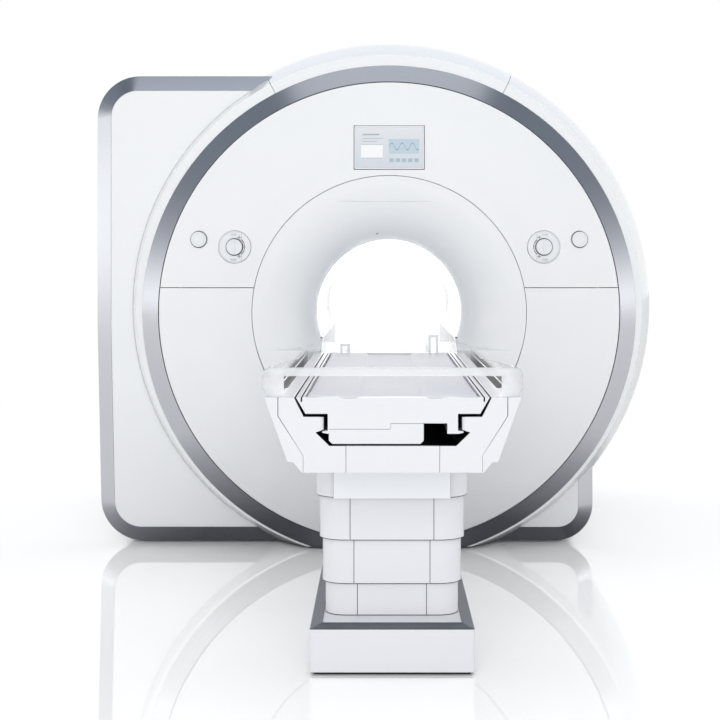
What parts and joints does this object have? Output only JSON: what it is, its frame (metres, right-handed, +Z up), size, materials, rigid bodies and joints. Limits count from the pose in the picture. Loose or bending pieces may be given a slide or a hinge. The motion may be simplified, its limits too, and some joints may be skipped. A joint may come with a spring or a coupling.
{
  "type": "mri scanner",
  "caption": "Whole-body magnetic resonance scanner: a magnet in round white covers with a metal trim ring, and a lifting patient table whose top slides into the bore.",
  "frame": {"origin": "on the floor under the middle of the magnet, on the underside of the magnet's base frame", "axes": "+Y along the bore, from the patient table into the magnet; +Z up; +X to the right for someone at the table's foot end"},
  "size_m": [2.4029, 3.726, 2.1679],
  "materials": {
    "cover_white": "smooth moulded covers, satin to gloss white",
    "table_white": "smooth moulded white",
    "light_plastic": "fine matt light grey plastic",
    "trim_metal": "metallic blue-grey paint",
    "dark_trim": "satin dark grey paint",
    "steel_paint": "painted steel",
    "stainless": "brushed stainless steel",
    "aluminium": "bare aluminium",
    "winding": "resin-bound copper and niobium wire",
    "composite": "glass-fibre composite",
    "resin": "cast resin round copper windings",
    "display": "display behind glass",
    "mattress_vinyl": "smooth wipe-clean vinyl"
  },
  "bodies": {
    "magnet": {"magnet_base_frame": "steel_paint", "vacuum_vessel": "steel_paint", "vessel_bore_tube": "stainless", "thermal_shield": "aluminium", "helium_vessel": "stainless", "coil_former": "aluminium", "superconducting_coils": "winding", "suspension_struts": "composite", "service_turret": "stainless", "cold_head": "stainless", "gradient_coil": "resin", "body_coil": "composite", "cover_frames": "aluminium", "bore_liner": "cover_white", "bore_bed": "cover_white", "front_funnel": "cover_white", "front_apron": "cover_white", "rear_funnel": "cover_white", "front_cover_upper": "cover_white", "front_cover_lower": "cover_white", "trim_ring": "trim_metal", "barrel_cover_top": "cover_white", "barrel_cover_right": "cover_white", "barrel_cover_left": "cover_white", "rear_cover": "cover_white", "housing_rim": "trim_metal", "housing_panel": "cover_white", "housing_shell": "cover_white", "foot_rim": "trim_metal", "foot_cover": "cover_white", "display_housing": "light_plastic", "display_glass": "display", "control_disc_left": "light_plastic", "control_disc_right": "light_plastic", "table_floor_plate": "steel_paint", "base_cover": "table_white", "base_trim": "dark_trim", "floor_cable_cover": "light_plastic", "column_section_fixed": "table_white", "ram_barrel": "steel_paint"},
    "column_low": {"column_section_low": "table_white", "ram_tube_low": "stainless"},
    "column_high": {"column_section_high": "table_white", "ram_tube_high": "stainless"},
    "table": {"column_section_top": "table_white", "column_front_plate": "table_white", "ram_rod": "stainless", "table_frame": "table_white", "table_end_panel": "table_white", "table_shells": "table_white", "hand_rail": "table_white", "table_drive_motor": "steel_paint"},
    "sliding_top": {"tabletop": "table_white", "mattress": "mattress_vinyl", "cable_tray": "table_white", "coil_sockets": "light_plastic"},
    "dial_left": {"dial_left": "light_plastic"},
    "dial_right": {"dial_right": "light_plastic"},
    "button_left": {"stop_button_left": "light_plastic"},
    "button_right": {"stop_button_right": "light_plastic"}
  },
  "joints": [
    {"name": "table_lift", "type": "slide", "parent": "magnet", "child": "table", "axis": [0, 0, 1], "range_m": [-0.264, 0]},
    {"name": "high_section_lift", "type": "slide", "parent": "magnet", "child": "column_high", "axis": [0, 0, 1], "range_m": [-0.176, 0]},
    {"name": "low_section_lift", "type": "slide", "parent": "magnet", "child": "column_low", "axis": [0, 0, 1], "range_m": [-0.088, 0]},
    {"name": "tabletop_slide", "type": "slide", "parent": "table", "child": "sliding_top", "axis": [0, 1, 0], "range_m": [0, 1.6]},
    {"name": "dial_turn_left", "type": "hinge", "parent": "magnet", "child": "dial_left", "pos_m": [-0.626, -0.92, 1.237], "axis": [0, 1, 0], "range_deg": [-40, 40], "stiffness_Nm_per_rad": 0.3},
    {"name": "dial_turn_right", "type": "hinge", "parent": "magnet", "child": "dial_right", "pos_m": [0.626, -0.92, 1.237], "axis": [0, 1, 0], "range_deg": [-40, 40], "stiffness_Nm_per_rad": 0.3},
    {"name": "button_press_left", "type": "slide", "parent": "magnet", "child": "button_left", "axis": [0, 1, 0], "range_m": [0, 0.004], "stiffness_N_per_m": 800},
    {"name": "button_press_right", "type": "slide", "parent": "magnet", "child": "button_right", "axis": [0, 1, 0], "range_m": [0, 0.004], "stiffness_N_per_m": 800}
  ],
  "couplings": [
    {"joint": "high_section_lift", "follows": "table_lift", "ratio": 0.66667},
    {"joint": "low_section_lift", "follows": "table_lift", "ratio": 0.33333}
  ]
}
